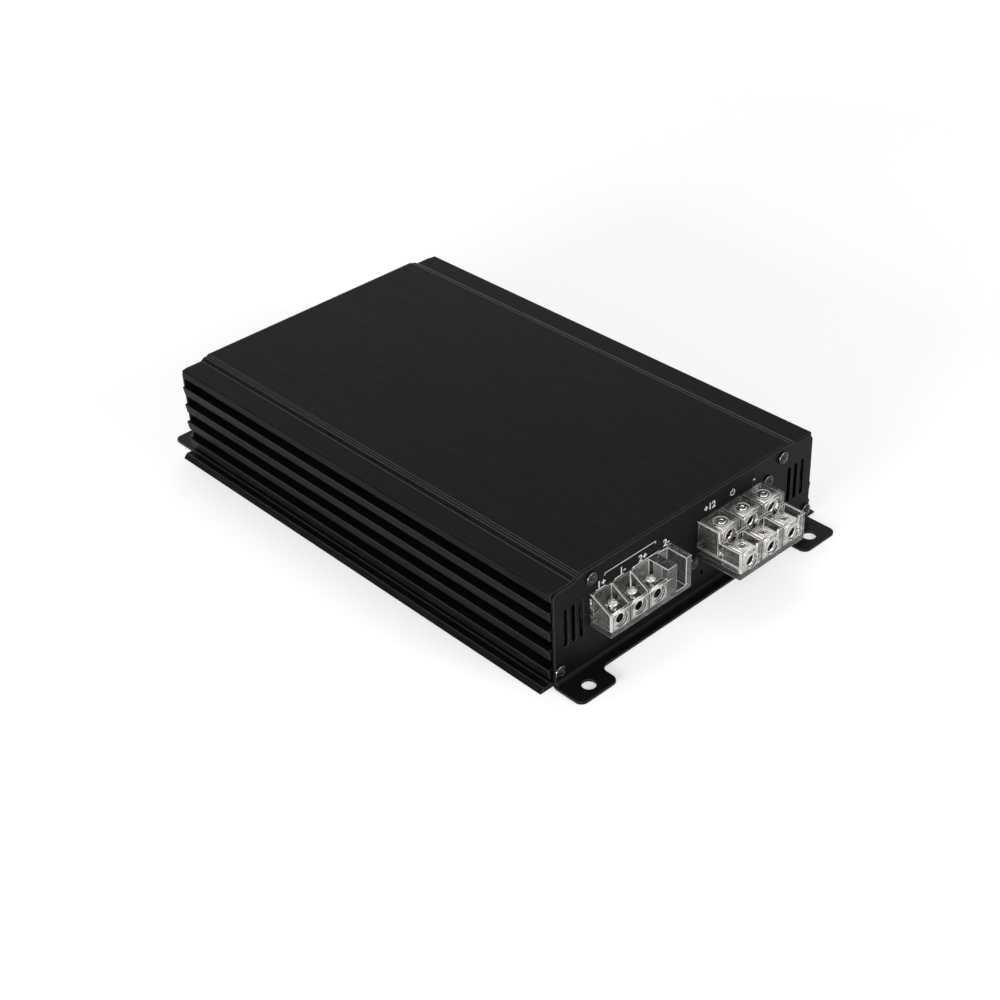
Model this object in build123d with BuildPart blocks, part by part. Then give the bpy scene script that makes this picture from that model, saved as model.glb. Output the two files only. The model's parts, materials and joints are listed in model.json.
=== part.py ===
"""Compact multi-channel car amplifier, built piece by piece.

Frame: X across the case, Y along the extrusion with the terminals at -Y, Z up.
The origin is the centre of the four mounting holes, on the floor. Millimetres.
"""

import os
from math import cos, pi, sin

from build123d import *

os.makedirs("parts", exist_ok=True)

# ---------------------------------------------------------------- driving dimensions

# chassis extrusion
body_length = 248.8
body_width = 160.0  # across the shoulders
shoulder_height = 46.6
shoulder_shelf = 11.6  # flat part of each shoulder
deck_rise = 2.0
step_run = 2.0  # slope from the shoulder up to the ledge
step_rise = 1.3
ledge_width = 1.6
deck_thickness = 3.0
wall_thickness = 3.0
corner_round = 0.6

# cooling fins down both sides
fin_count = 4
fin_depth = 6.5
fin_thickness = 4.9
fin_lean = 0.8  # how far the outer face leans in at its lower edge
fin_overhang = 1.2  # the top fin stands out past the shoulder
fin_flare = 0.35  # each lower fin stands out a little more
shoulder_edge = 4.1  # height of the shoulder's own outer face
lowest_fin_height = 4.7

# bottom flange and the lips that carry the bottom cover
flange_reach = 7.0  # past the shoulder
flange_thickness = 2.2
flange_bevel = 2.1
flange_groove = 0.4
flange_groove_x = 1.4  # outer edge of the groove, past the shoulder
lip_width = 8.5
lip_thickness = 2.6
cover_gap = 0.3  # bottom cover stays this far above the floor
cover_sheet = 1.5
cover_clearance = 0.4

# folded end plates with feet
sheet = 1.2
plate_inset = 0.4
plate_corner = 3.0
bend_radius = 2.0
flange_depth = 5.2  # narrow flange in front of the plate
foot_depth = 15.7
foot_overhang = 0.7  # past the case's side
foot_width = 21.7
foot_corner = 3.5
foot_hole_radius = 3.0
foot_hole_depth = 9.05  # hole centre, from the plate's outer face

# fasteners
m3_radius = 1.45
m3_hole = 1.5
m3_clearance = 1.7
pan_head_radius = 2.9
pan_head_height = 1.8
plate_screw_length = 8.0
top_screw_x = 58.8
top_screw_drop = 4.8  # below the deck's top face
screw_boss = 3.2
channel_inset = 2.8  # lower screw channels, in from the shoulder's edge

# cooling slots beside the terminals
vent_count = 3
vent_pitch = 4.4
vent_width = 2.4
vent_length = 18.6
vent_first_x = 64.4
vent_centre_height = 26.8
test_hole_radius = 1.2

# clear terminal housings
clear_wall = 1.1
window_gap = 0.25
housing_round = 0.5
cover_edge_round = 0.3
rear_flange = 2.5
rear_flange_margin = 2.0

# power terminal: two levels of three ways
power_x = 25.3
power_ways = 3
power_pitch = 13.5
power_floor = 19.6
power_base_height = 5.7
power_depth = 23.6
power_step_depth = 11.9  # depth of the upper level
power_low_top = 33.0
power_high_top = 38.0
power_floor_thickness = 2.6
power_fix_gap = 0.2  # fixing screws' heads to the housing's sides
power_fix_drop = 1.6

# clamp blocks of the power terminal
block_width = 9.4
low_block_depth = 8.9
low_block_height = 8.8
low_bore_height = 6.3  # bore axis above the housing's floor
high_block_depth = 8.6
high_block_height = 11.7
high_bore_drop = 3.7  # bore axis below the block's top
low_bore = 2.4
high_bore = 2.2
bore_chamfer = 0.3
block_round = 1.2
block_chamfer = 0.4
mouth_gap = 1.0  # between a bore's wall and the housing's wire hole
m4_radius = 2.0
m4_pitch = 0.7
thread_gap = 0.05
grub_length = 2.0
pad_thickness = 0.4
pad_gap = 0.3  # pad to the wall of the screw's hole
rest_gap = 0.05  # pad to the bore it will enter
socket_radius = 1.15
socket_depth = 1.2
tail_width = 5.0
tail_thickness = 1.2

# speaker terminal: three clamp ways and one plain way
speaker_left = -59.1
speaker_ways = 3
speaker_pitch = 11.0
speaker_floor = 19.6
speaker_top = 35.7
speaker_front_top = 30.2
speaker_depth = 11.3
speaker_rear_wall = 1.9
speaker_floor_thickness = 2.2
plain_rib = 5.4
plain_slot = 5.6
end_wall = 3.4
barrel_radius = 3.3
barrel_width = 7.6
barrel_depth = 8.6
speaker_bore = 2.1
speaker_bore_height = 6.5
m3_pitch = 0.5
head_radius = 2.4
head_height = 1.7
shank_length = 2.4
slot_width = 0.7

# circuit board
board_height = 9.0  # underside above the floor
board_thickness = 1.6
board_side_gap = 2.5
board_end_gap = 5.0
standoff_radius = 2.6
standoff_inset = 10.0  # in from the cover's lips
standoff_end_inset = 21.4  # in from the board's ends

# output transistors on the side walls
transistors_per_side = 6
transistor_pitch = 26.0
transistor_width = 10.2
transistor_body = 4.5
transistor_height = 15.6
transistor_lift = 3.4
leg_size = 0.8
leg_pitch = 2.54
pad_sheet = 0.3
clamp_bar_thickness = 2.0
clamp_bar_height = 9.0
clamp_bar_lift = 8.5  # bar's lower edge above the board
bar_screw_depth = 2.2  # into the wall

# toroidal transformer and input choke
core_outer = 22.0
core_inner = 13.0
core_height = 17.0
turn_thickness = 1.8
turn_gap = 0.15  # beside the core; each turn rests on it above and below
turn_width = 2.6
turn_count = 18
transformer_x = 26.0
transformer_inset = 39.4  # from the board's terminal end
choke_outer = 11.5
choke_inner = 6.5
choke_height = 9.0
choke_turns = 10
choke_x = -14.0
choke_inset = 27.4

# capacitors
reservoir_radius = 11.0
reservoir_height = 30.0
reservoir_pitch = 25.0
reservoir_inset = 93.4
small_cap_radius = 6.0
small_cap_height = 20.0
small_cap_pitch = 15.0
small_cap_x = -36.0

# signal chips
chip_size = (9.6, 6.4, 3.6)
chip_pitch = 18.0
chip_x = 10.0
chip_inset = 59.4  # from the board's far end

# phono sockets on the rear plate
phono_pitch = 14.0
phono_columns = 2
phono_rows = 2
phono_x = -47.0
rear_row_drop = 2.5  # below the middle of the space over the board
phono_block_depth = 12.0
phono_block_proud = 1.2
phono_margin = 6.6
phono_shell = 4.15
phono_shell_wall = 0.6
phono_reach = 9.0
phono_seat = 5.0
phono_seat_radius = 3.9  # narrower inside the block
phono_contact = 1.6

# rotary controls on the rear plate
control_count = 4
control_pitch = 15.0
control_x = 10.5
control_body = (11.0, 8.0, 12.0)
shaft_radius = 3.0
shaft_gap = 0.06
shaft_seat = 5.0
knob_radius = 4.6
knob_reach = 6.5
knob_gap = 0.5
shaft_clearance = 0.6
knob_slot = 1.2

# slide switches on the rear plate
switch_count = 2
switch_pitch = 30.0
switch_drop = 7.0  # below the case's ceiling
switch_body = (12.0, 6.0, 5.6)
switch_travel = 2.0
switch_lever = (3.0, 4.6, 2.6)
switch_slot_gap = 0.35

# indicator lamps on the rear plate
led_x = 52.0
led_radius = 1.5
led_rim = 1.9

# ---------------------------------------------------------------- derived places

half_length = body_length / 2
half_width = body_width / 2
deck_height = shoulder_height + deck_rise
ceiling = deck_height - deck_thickness
slope_foot_x = half_width - shoulder_shelf
ledge_x = slope_foot_x - step_run
deck_x = ledge_x - ledge_width - (deck_rise - step_rise)
root_x = half_width - fin_depth
inner_x = root_x - wall_thickness
fin_pitch = (shoulder_height - shoulder_edge - lowest_fin_height) / fin_count
lip_floor = cover_gap + cover_sheet
cover_half_width = root_x - cover_clearance
plate_face = half_length + sheet  # outer face of either end plate
top_screw_z = deck_height - top_screw_drop
foot_outer = half_width + foot_overhang
foot_inner = foot_outer - foot_width
channel_x = half_width - channel_inset
channel_z = lowest_fin_height + fin_thickness / 2
board_top = board_height + board_thickness
board_half_width = inner_x - board_side_gap
board_half_length = half_length - board_end_gap
standoff_x = inner_x - lip_width - standoff_inset
standoff_y = board_half_length - standoff_end_inset
transformer_y = transformer_inset - board_half_length
choke_y = choke_inset - board_half_length
reservoir_y = reservoir_inset - board_half_length
chip_y = board_half_length - chip_inset
rear_row_height = (board_top + ceiling) / 2 - rear_row_drop
switch_height = ceiling - switch_drop
foot_x = (foot_outer + foot_inner) / 2
foot_y = plate_face + foot_hole_depth


def save(builder, name):
    """Label a finished piece and write its STEP file."""
    builder.part.label = name
    export_step(builder.part, f"parts/{name}.step")


def top_outline(inset=0.0):
    """Right half of the deck's step profile, from the centre out, as (x, z)."""
    ledge_z = shoulder_height + step_rise - inset
    return [
        (0, deck_height - inset),
        (deck_x, deck_height - inset),
        (ledge_x - ledge_width, ledge_z),
        (ledge_x, ledge_z),
        (slope_foot_x, shoulder_height - inset),
        (half_width - inset, shoulder_height - inset),
    ]


def fin_points():
    """Outer corners of the fins on the right side, from the top fin down."""
    points = []
    for index in range(fin_count):
        top = shoulder_height - shoulder_edge - fin_pitch * (index + 1) + fin_thickness
        tip = half_width + fin_overhang + fin_flare * index
        points += [
            (root_x, top),
            (tip, top),
            (tip - fin_lean, top - fin_thickness),
            (root_x, top - fin_thickness),
        ]
    return points


def both_sides(x, z):
    """A place and its mirror image across the case."""
    return [(x, z), (-x, z)]


# ---------------------------------------------------------------- case

with BuildPart() as chassis_heatsink:
    with BuildSketch(Plane.XZ.offset(-half_length)):
        with BuildLine():
            groove_x = half_width + flange_groove_x
            flange_x = half_width + flange_reach
            Polyline(
                *top_outline(),
                (half_width, shoulder_height - shoulder_edge),
                (root_x, shoulder_height - shoulder_edge),
                *fin_points(),
                (root_x, flange_thickness),
                (groove_x - flange_groove, flange_thickness),
                (groove_x, flange_thickness - flange_groove),
                (groove_x + flange_groove, flange_thickness),
                (flange_x - flange_bevel, flange_thickness),
                (flange_x, 0),
                (root_x, 0),
                (root_x, lip_floor),
                (inner_x - lip_width, lip_floor),
                (inner_x - lip_width, lip_floor + lip_thickness),
                (inner_x, lip_floor + lip_thickness),
                (inner_x, ceiling),
                (0, ceiling),
                close=True,
            )
        make_face()
        mirror(about=Plane.YZ)
        with Locations(*both_sides(top_screw_x, top_screw_z)):
            Circle(screw_boss)
        with Locations((0, ceiling + deck_thickness / 2)):
            Rectangle(2 * top_screw_x, deck_thickness)
        with Locations(*both_sides(top_screw_x, top_screw_z), *both_sides(channel_x, channel_z)):
            Circle(m3_hole, mode=Mode.SUBTRACT)
    extrude(amount=body_length)
    outer_edges = chassis_heatsink.edges().filter_by(Axis.Y).filter_by(
        lambda edge: abs(abs(edge.center().X) - half_width) < 0.01
        and abs(edge.center().Z - shoulder_height) < 0.01
    )
    fillet(outer_edges, corner_round)
    lip_screw_x = inner_x - lip_width / 2
    with Locations(Plane.XY.offset(lip_floor)):
        with GridLocations(2 * lip_screw_x, standoff_y, 2, 3):
            Cylinder(
                m3_hole, lip_thickness, align=(Align.CENTER, Align.CENTER, Align.MIN),
                mode=Mode.SUBTRACT,
            )
    bar_screw_z = board_top + clamp_bar_lift + clamp_bar_height / 2
    for side in (-1, 1):
        with Locations(Plane(origin=(side * inner_x, 0, bar_screw_z), z_dir=(side, 0, 0))):
            with GridLocations(1, transistor_pitch, 1, transistors_per_side - 1):
                Cylinder(
                    m3_hole, bar_screw_depth, align=(Align.CENTER, Align.CENTER, Align.MIN),
                    mode=Mode.SUBTRACT,
                )
save(chassis_heatsink, "chassis_heatsink")

with BuildPart() as bottom_cover:
    with BuildSketch(Plane.XY.offset(cover_gap)):
        Rectangle(2 * cover_half_width, body_length)
        with GridLocations(2 * lip_screw_x, standoff_y, 2, 3):
            Circle(m3_clearance, mode=Mode.SUBTRACT)
        with GridLocations(2 * standoff_x, standoff_y, 2, 3):
            Circle(m3_clearance, mode=Mode.SUBTRACT)
    extrude(amount=cover_sheet)
    with Locations(Plane(origin=(0, 0, cover_gap), z_dir=(0, 0, -1))):
        with GridLocations(2 * lip_screw_x, standoff_y, 2, 3):
            CounterSinkHole(m3_clearance, pan_head_radius, cover_sheet)
        with GridLocations(2 * standoff_x, standoff_y, 2, 3):
            CounterSinkHole(m3_clearance, pan_head_radius, cover_sheet)
save(bottom_cover, "bottom_cover")


def end_plate_blank(side):
    """Folded sheet with its feet, corner holes and foot holes; side is -1 or 1 along Y."""
    inner, outer = side * half_length, side * plate_face
    flange_end, foot_end = outer + side * flange_depth, outer + side * foot_depth
    with BuildPart(mode=Mode.PRIVATE) as plate:
        with BuildSketch(Plane.YZ.offset(-foot_outer)):
            with BuildLine():
                Polyline(
                    (inner, 0), (foot_end, 0), (foot_end, sheet), (outer, sheet),
                    (outer, deck_height), (inner, deck_height), close=True,
                )
            make_face()
            corners = ShapeList(corner for corner in vertices() if corner.Y < sheet + 0.01)
            fillet(corners.sort_by_distance((inner, 0))[0], bend_radius + sheet)
            corners = ShapeList(corner for corner in vertices() if corner.Y < sheet + 0.01)
            fillet(corners.sort_by_distance((outer, sheet))[0], bend_radius)
        extrude(amount=2 * foot_outer)
        with BuildSketch(Plane.XY):
            with BuildLine():
                Polyline(
                    (-foot_outer, inner), (-foot_outer, foot_end), (-foot_inner, foot_end),
                    (-foot_inner, flange_end), (foot_inner, flange_end), (foot_inner, foot_end),
                    (foot_outer, foot_end), (foot_outer, inner), close=True,
                )
            make_face()
            fillet(
                [corner for corner in vertices() if abs(corner.Y) > plate_face + 0.01], foot_corner
            )
            with Locations(*[(x, side * foot_y) for x in (-foot_x, foot_x)]):
                Circle(foot_hole_radius, mode=Mode.SUBTRACT)
        extrude(amount=deck_height, mode=Mode.INTERSECT)
        plate_edge = top_outline(plate_inset)
        side_x, top_z = plate_edge[-1]
        with BuildSketch(Plane.XZ):
            with BuildLine():
                Polyline(*plate_edge[:-1], (side_x - plate_corner, top_z))
                CenterArc((side_x - plate_corner, top_z - plate_corner), plate_corner, 0, 90)
                Polyline(
                    (side_x, top_z - plate_corner), (side_x, sheet), (2 * side_x, sheet),
                    (2 * side_x, 2 * deck_height), (0, 2 * deck_height), plate_edge[0],
                )
            make_face()
            mirror(about=Plane.YZ)
        extrude(amount=foot_y + foot_depth, both=True, mode=Mode.SUBTRACT)
        with BuildSketch(Plane.XZ.offset(-inner)):
            with Locations(*both_sides(top_screw_x, top_screw_z), *both_sides(channel_x, channel_z)):
                Circle(m3_clearance)
        extrude(amount=sheet, both=True, mode=Mode.SUBTRACT)
    return plate.part


with BuildPart() as front_end_plate:
    add(end_plate_blank(-1))
    power_width = power_ways * power_pitch + clear_wall
    power_fix_x = power_width / 2 + power_fix_gap + pan_head_radius
    speaker_width = speaker_ways * speaker_pitch + plain_rib + plain_slot + end_wall
    speaker_x = speaker_left + speaker_width / 2
    vent_xs = [vent_first_x + index * vent_pitch for index in range(vent_count)]
    power_fix = [
        (power_x - power_fix_x, power_floor - power_fix_drop),
        (power_x + power_fix_x, power_high_top - power_fix_drop),
    ]
    with BuildSketch(Plane.XZ.offset(half_length)):
        with Locations(*[(side * x, vent_centre_height) for x in vent_xs for side in (-1, 1)]):
            SlotOverall(vent_length, vent_width, rotation=90)
        with Locations((power_x, (power_floor + power_high_top) / 2)):
            Rectangle(
                power_width + 2 * window_gap, power_high_top - power_floor + 2 * window_gap
            )
        with Locations((speaker_x, (speaker_floor + speaker_top) / 2)):
            Rectangle(
                speaker_width + 2 * window_gap, speaker_top - speaker_floor + 2 * window_gap
            )
        with Locations(*power_fix):
            Circle(m3_clearance)
        with Locations((power_fix[0][0] + power_pitch / 2, power_floor / 2)):
            Circle(test_hole_radius)
    extrude(amount=sheet, mode=Mode.SUBTRACT)
save(front_end_plate, "front_end_plate")

phono_places = [
    (phono_x + (column - 0.5) * phono_pitch, rear_row_height + (row - 0.5) * phono_pitch)
    for row in range(phono_rows) for column in range(phono_columns)
]
control_places = [
    (control_x + (index - (control_count - 1) / 2) * control_pitch, rear_row_height)
    for index in range(control_count)
]
switch_places = [
    (control_x + (index - (switch_count - 1) / 2) * switch_pitch, switch_height)
    for index in range(switch_count)
]
led_places = [(led_x, switch_height), (led_x, rear_row_height)]

with BuildPart() as rear_end_plate:
    add(end_plate_blank(1))
    with BuildSketch(Plane.XZ.offset(-plate_face)):
        with Locations((phono_x, rear_row_height)):
            Rectangle(
                phono_pitch * (phono_columns - 1) + 2 * phono_margin + 2 * window_gap,
                phono_pitch * (phono_rows - 1) + 2 * phono_margin + 2 * window_gap,
            )
        with Locations(*control_places):
            Circle(shaft_radius + shaft_clearance)
        with Locations(*switch_places):
            Rectangle(
                switch_lever[0] + 2 * (switch_travel + switch_slot_gap),
                switch_lever[2] + 2 * switch_slot_gap,
            )
        with Locations(*led_places):
            Circle(led_radius + thread_gap)
    extrude(amount=sheet, mode=Mode.SUBTRACT)
save(rear_end_plate, "rear_end_plate")


# ---------------------------------------------------------------- fasteners


def pan_screw(length):
    """Cross-recessed pan-head screw, head up, with its seat at z = 0."""
    with BuildPart(mode=Mode.PRIVATE) as screw:
        with BuildSketch(Plane.XZ):
            with BuildLine():
                rim = pan_head_height * 0.55
                Polyline(
                    (0, pan_head_height), (0, -length), (m3_radius, -length),
                    (m3_radius, 0), (pan_head_radius, 0), (pan_head_radius, rim),
                )
                TangentArc(
                    (0, pan_head_height), (pan_head_radius, rim), tangent=(1, 0)
                )
            make_face()
        revolve(axis=Axis.Z)
        with BuildSketch(Plane.XY.offset(pan_head_height)):
            Rectangle(pan_head_radius * 1.1, slot_width)
            Rectangle(slot_width, pan_head_radius * 1.1)
        extrude(amount=-pan_head_height * 0.6, mode=Mode.SUBTRACT)
    return screw.part


def flush_screw(length):
    """Countersunk screw, head up, with the flat of its head at z = 0."""
    with BuildPart(mode=Mode.PRIVATE) as screw:
        with BuildSketch(Plane.XZ):
            cone = pan_head_radius - m3_clearance
            with BuildLine():
                Polyline(
                    (0, 0), (pan_head_radius - thread_gap, 0), (m3_radius, -cone),
                    (m3_radius, -length), (0, -length), close=True,
                )
            make_face()
        revolve(axis=Axis.Z)
        with BuildSketch(Plane.XY):
            Rectangle(pan_head_radius, slot_width)
            Rectangle(slot_width, pan_head_radius)
        extrude(amount=-cone, mode=Mode.SUBTRACT)
    return screw.part


corner_screw_places = both_sides(top_screw_x, top_screw_z) + both_sides(channel_x, channel_z)

plate_screw = pan_screw(plate_screw_length)
with BuildPart() as end_plate_screws:
    for side in (-1, 1):
        for x, z in corner_screw_places:
            with Locations(Plane(origin=(x, side * plate_face, z), z_dir=(0, side, 0))):
                add(plate_screw)
save(end_plate_screws, "end_plate_screws")

fixing_screw = pan_screw(sheet + rear_flange)
with BuildPart() as terminal_fixing_screws:
    for x, z in power_fix:
        with Locations(Plane(origin=(x, -plate_face, z), z_dir=(0, -1, 0))):
            add(fixing_screw)
save(terminal_fixing_screws, "terminal_fixing_screws")

cover_screw = flush_screw(cover_sheet + lip_thickness)
with BuildPart() as bottom_cover_screws:
    with Locations(Plane(origin=(0, 0, cover_gap), z_dir=(0, 0, -1))):
        with GridLocations(2 * lip_screw_x, standoff_y, 2, 3):
            add(cover_screw)
        with GridLocations(2 * standoff_x, standoff_y, 2, 3):
            add(cover_screw)
save(bottom_cover_screws, "bottom_cover_screws")


# ---------------------------------------------------------------- power terminal

power_front = -(plate_face + power_depth)
power_step = -(plate_face + power_step_depth)
power_back = -half_length  # housings pass through the plate to its inner face
power_seam = power_floor + power_base_height
power_centres = [
    power_x + (index - (power_ways - 1) / 2) * power_pitch for index in range(power_ways)
]
way_width = power_pitch - clear_wall
low_block_floor = power_floor + power_floor_thickness
low_block_top = low_block_floor + low_block_height
low_block_front = power_front + clear_wall + window_gap
low_block_back = low_block_front + low_block_depth
low_bore_z = power_floor + low_bore_height
low_screw_y = (low_block_front + low_block_back) / 2
high_block_floor = power_seam
high_block_top = high_block_floor + high_block_height
high_block_front = power_step + clear_wall + window_gap
high_block_back = high_block_front + high_block_depth
high_bore_z = high_block_top - high_bore_drop
high_screw_y = (high_block_front + high_block_back) / 2
low_tail_y = power_back + rear_flange + 4 * tail_thickness
high_tail_y = low_tail_y + 3 * tail_thickness
tail_slot = tail_width + 2 * window_gap
m4_hole = m4_radius + thread_gap


def block_between(x_range, y_range, z_range, mode=Mode.ADD):
    """Add or cut a box given by its two limits along each axis."""
    (x0, x1), (y0, y1), (z0, z1) = x_range, y_range, z_range
    with Locations(((x0 + x1) / 2, (y0 + y1) / 2, (z0 + z1) / 2)):
        return Box(abs(x1 - x0), abs(y1 - y0), abs(z1 - z0), mode=mode)


def around(centre, width):
    """Limits of a span of that width about a centre."""
    return (centre - width / 2, centre + width / 2)


def hole_along_y(x, z, radius, y_range, mode=Mode.SUBTRACT):
    """Round hole or bar along Y between two places."""
    with Locations(Plane(origin=(x, sum(y_range) / 2, z), z_dir=(0, -1, 0))):
        return Cylinder(radius, abs(y_range[1] - y_range[0]), mode=mode)


def hole_along_z(x, y, radius, z_range, mode=Mode.SUBTRACT):
    """Round hole or bar along Z between two heights."""
    with Locations((x, y, sum(z_range) / 2)):
        return Cylinder(radius, abs(z_range[1] - z_range[0]), mode=mode)


with BuildPart() as power_terminal_base:
    block_between(around(power_x, power_width), (power_front, power_back), (power_floor, power_seam))
    fillet(power_terminal_base.edges().filter_by(Axis.Z).group_by(Axis.Y)[0], housing_round)
    for x in power_centres:
        low_pocket = (power_front + clear_wall, low_block_back + window_gap)
        block_between(around(x, way_width), low_pocket, (low_block_floor, power_seam), Mode.SUBTRACT)
        tail_run = (low_pocket[1], power_back)
        block_between(around(x, tail_slot), tail_run, (low_block_floor, power_seam), Mode.SUBTRACT)
        mouth = (power_front - clear_wall, power_front + 2 * clear_wall)
        hole_along_y(x, low_bore_z, low_bore + mouth_gap, mouth)
    flange_x = (
        power_fix[0][0] - m3_clearance - rear_flange_margin,
        power_fix[1][0] + m3_clearance + rear_flange_margin,
    )
    flange_z = (
        power_fix[0][1] - m3_clearance - rear_flange_margin,
        power_high_top + rear_flange_margin,
    )
    block_between(flange_x, (power_back, power_back + rear_flange), flange_z)
    for x in power_centres:
        tail_hole = (low_block_floor, high_block_floor + tail_thickness + window_gap)
        flange_run = (power_back, power_back + rear_flange)
        block_between(around(x, tail_slot), flange_run, tail_hole, Mode.SUBTRACT)
    for x, z in power_fix:
        hole_along_y(x, z, m3_hole, (power_back, power_back + rear_flange))
save(power_terminal_base, "power_terminal_base")

with BuildPart() as power_terminal_cover:
    block_between(
        around(power_x, power_width), (power_front, power_back), (power_seam, power_low_top)
    )
    block_between(
        around(power_x, power_width), (power_step, power_back), (power_low_top, power_high_top)
    )
    fillet(power_terminal_cover.edges().filter_by(Axis.Z).group_by(Axis.Y)[0], housing_round)
    top_face = power_terminal_cover.faces().filter_by(Axis.Z).sort_by(Axis.Z)[-1]
    fillet(top_face.edges().group_by(Axis.Y)[0], cover_edge_round)
    step_back = power_step + clear_wall
    for x in power_centres:
        low_pocket = (power_front + clear_wall, low_block_back + window_gap)
        block_between(around(x, way_width), low_pocket, (power_seam, power_high_top), Mode.SUBTRACT)
        block_between(
            around(x, way_width), (step_back, power_back - clear_wall),
            (power_seam, high_block_top + window_gap), Mode.SUBTRACT,
        )
        low_mouth = (power_front - clear_wall, power_front + 2 * clear_wall)
        hole_along_y(x, low_bore_z, low_bore + mouth_gap, low_mouth)
        high_mouth = (power_front - clear_wall, step_back + clear_wall)
        hole_along_y(x, high_bore_z, high_bore + mouth_gap, high_mouth)
        hole_along_z(
            x, high_screw_y, m4_radius + mouth_gap, (high_block_top, power_high_top + clear_wall)
        )
        block_between(
            around(x, tail_slot), (power_back - 2 * clear_wall, power_back),
            (power_seam, high_block_floor + tail_thickness + window_gap), Mode.SUBTRACT,
        )
save(power_terminal_cover, "power_terminal_cover")


def clamp_block(x, front, back, floor, top, bore_z, bore, tail_y):
    """Nickel-plated clamp block: wire bore along Y, screw hole from the top, solder tail."""
    with BuildPart(mode=Mode.PRIVATE) as block:
        block_between(around(x, block_width), (front, back), (floor, top))
        fillet(block.edges().filter_by(Axis.Y).group_by(Axis.Z)[-1], block_round)
        chamfer(block.edges().filter_by(Axis.Z), block_chamfer)
        hole_along_y(x, bore_z, bore, (front, back))
        rims = block.edges().filter_by(GeomType.CIRCLE).filter_by(
            lambda edge: abs(edge.radius - bore) < 0.01
        )
        chamfer(rims.sort_by(Axis.Y)[0], bore_chamfer)
        hole_along_z(x, (front + back) / 2, m4_hole, (bore_z, top))
        tail_top = floor + tail_thickness
        block_between(around(x, tail_width), (back, tail_y), (floor, tail_top))
        block_between(
            around(x, tail_width), (tail_y - tail_thickness, tail_y), (board_top, tail_top)
        )
    return block.part


with BuildPart() as power_clamps_lower:
    for x in power_centres:
        add(clamp_block(
            x, low_block_front, low_block_back, low_block_floor, low_block_top,
            low_bore_z, low_bore, low_tail_y,
        ))
save(power_clamps_lower, "power_clamps_lower")

with BuildPart() as power_clamps_upper:
    for x in power_centres:
        add(clamp_block(
            x, high_block_front, high_block_back, high_block_floor, high_block_top,
            high_bore_z, high_bore, high_tail_y,
        ))
save(power_clamps_upper, "power_clamps_upper")


def grub_screw(x, y, tip_z):
    """Headless clamp screw with a hexagon socket."""
    with BuildPart(mode=Mode.PRIVATE) as screw:
        hole_along_z(x, y, m4_radius, (tip_z, tip_z + grub_length), Mode.ADD)
        chamfer(screw.edges().filter_by(GeomType.CIRCLE).sort_by(Axis.Z)[-1], 0.2)
        with BuildSketch(Plane((x, y, tip_z + grub_length))):
            RegularPolygon(socket_radius, 6)
        extrude(amount=-socket_depth, mode=Mode.SUBTRACT)
    return screw.part


def pressure_pad(x, y, bore_top, radius):
    """Small loose disc under a clamp screw's tip, which presses on the wire."""
    with BuildPart(mode=Mode.PRIVATE) as pad:
        floor = bore_top + rest_gap
        hole_along_z(x, y, radius - pad_gap, (floor, floor + pad_thickness), Mode.ADD)
        chamfer(pad.edges().filter_by(GeomType.CIRCLE).sort_by(Axis.Z)[0], 0.1)
    return pad.part


levels = [
    ("lower", low_screw_y, low_bore_z + low_bore),
    ("upper", high_screw_y, high_bore_z + high_bore),
]
for level, screw_y, bore_top in levels:
    for number, x in enumerate(power_centres, start=1):
        with BuildPart() as power_pad:
            add(pressure_pad(x, screw_y, bore_top, m4_hole))
        save(power_pad, f"power_pad_{level}_{number}")
        with BuildPart() as power_screw:
            add(grub_screw(x, screw_y, bore_top + rest_gap + pad_thickness))
        save(power_screw, f"power_screw_{level}_{number}")

# ---------------------------------------------------------------- speaker terminal

speaker_front = -(plate_face + speaker_depth)
speaker_right = speaker_left + speaker_width
speaker_way = speaker_pitch - clear_wall
speaker_centres = [
    speaker_left + (index + 0.5) * speaker_pitch + clear_wall / 2
    for index in range(speaker_ways)
]
rib_x = speaker_left + speaker_ways * speaker_pitch
slot_x = (rib_x + plain_rib, rib_x + plain_rib + plain_slot)
pocket_floor = speaker_floor + speaker_floor_thickness
pocket_back = power_back - speaker_rear_wall
barrel_z = speaker_floor + speaker_bore_height
barrel_front = speaker_front + clear_wall
barrel_back = barrel_front + barrel_depth
barrel_y = (barrel_front + barrel_back) / 2
barrel_top = barrel_z + barrel_radius

with BuildPart() as speaker_terminal_housing:
    with BuildSketch(Plane.YZ.offset(speaker_left)):
        with BuildLine():
            Polyline(
                (power_back, speaker_floor), (speaker_front, speaker_floor),
                (speaker_front, speaker_front_top), (pocket_back, speaker_top),
                (power_back, speaker_top), close=True,
            )
        make_face()
    extrude(amount=speaker_width)
    block_between(
        (rib_x, speaker_right), (speaker_front, power_back), (speaker_floor, speaker_top)
    )
    fillet(speaker_terminal_housing.edges().filter_by(Axis.Z).group_by(Axis.Y)[0], housing_round)
    for x in speaker_centres:
        inside = (barrel_front, pocket_back)
        way = around(x, speaker_way)
        block_between(way, inside, (pocket_floor, speaker_top), Mode.SUBTRACT)
        mouth = (speaker_front - clear_wall, speaker_front + 2 * clear_wall)
        hole_along_y(x, barrel_z, speaker_bore + 1.5 * mouth_gap, mouth)
        tail_z = (pocket_floor, pocket_floor + tail_thickness + window_gap)
        block_between(
            around(x, tail_slot), (pocket_back, power_back + rear_flange), tail_z, Mode.SUBTRACT
        )
    block_between(
        slot_x, (speaker_front, pocket_back), (pocket_floor, speaker_top), Mode.SUBTRACT
    )
    flange_x = (speaker_left - rear_flange_margin, speaker_right + rear_flange_margin)
    flange_z = (speaker_floor - rear_flange_margin, speaker_top + rear_flange_margin)
    block_between(flange_x, (power_back, power_back + rear_flange), flange_z)
    for x in speaker_centres:
        block_between(
            around(x, tail_slot), (power_back, power_back + rear_flange), tail_z, Mode.SUBTRACT
        )
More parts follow.
